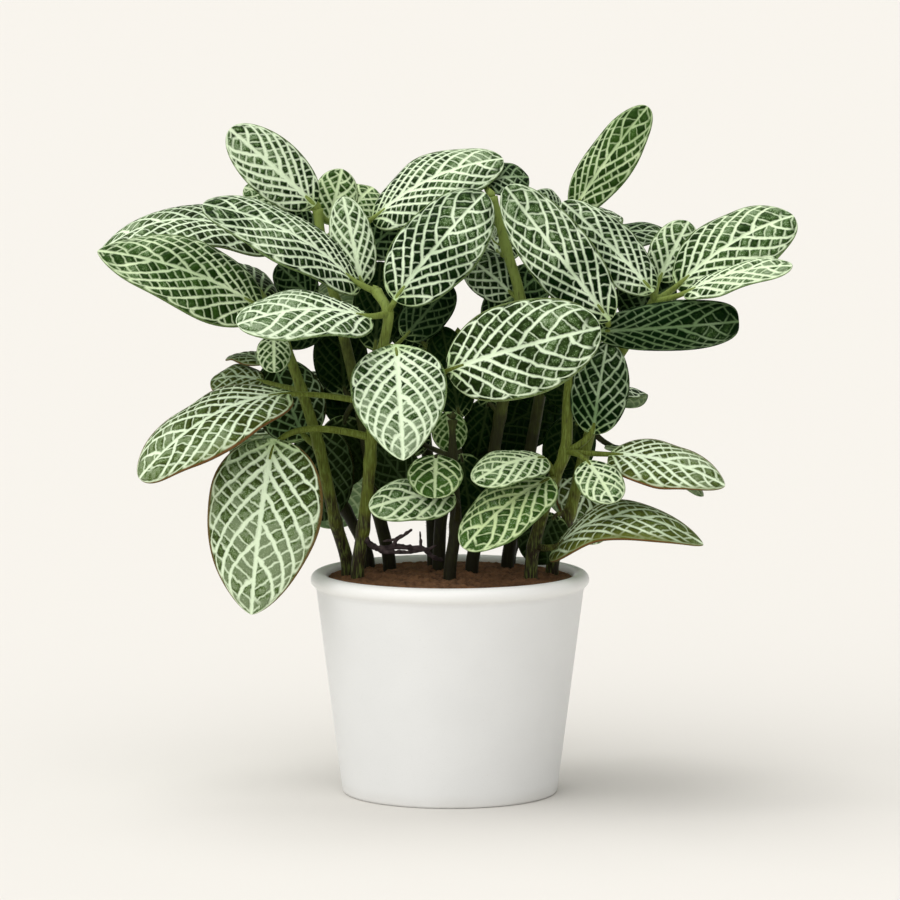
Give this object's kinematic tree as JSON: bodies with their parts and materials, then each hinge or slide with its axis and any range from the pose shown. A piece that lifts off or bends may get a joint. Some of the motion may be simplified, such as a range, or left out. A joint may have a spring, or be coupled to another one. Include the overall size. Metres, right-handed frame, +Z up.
{
  "type": "potted nerve plant",
  "caption": "Bushy foliage plant with pale-veined oval leaves on creeping stems, standing in soil in a tapered round pot with a rolled rim.",
  "frame": {"origin": "middle of the pot's flat base", "axes": "+Z up, -Y towards the viewer of the picture, +X to the viewer's right"},
  "size_m": [0.2496, 0.1437, 0.2461],
  "materials": {
    "pot": "satin white",
    "soil": "crumbly brown potting soil",
    "foliage": "dark green leaves with pale veins"
  },
  "bodies": {
    "root": {"pot": "pot", "soil": "soil", "leafy_stem_front_left": "foliage", "leafy_stem_left": "foliage", "leafy_stem_upper_left": "foliage", "leafy_stem_centre": "foliage", "leafy_stem_right": "foliage", "leafy_stem_far_right": "foliage", "leafy_stem_upper_right": "foliage", "leafy_stem_inner_front": "foliage", "leafy_stem_inner_back": "foliage", "leafy_stem_back": "foliage", "leafy_stem_back_right": "foliage", "leafy_stem_back_left": "foliage"}
  },
  "joints": []
}
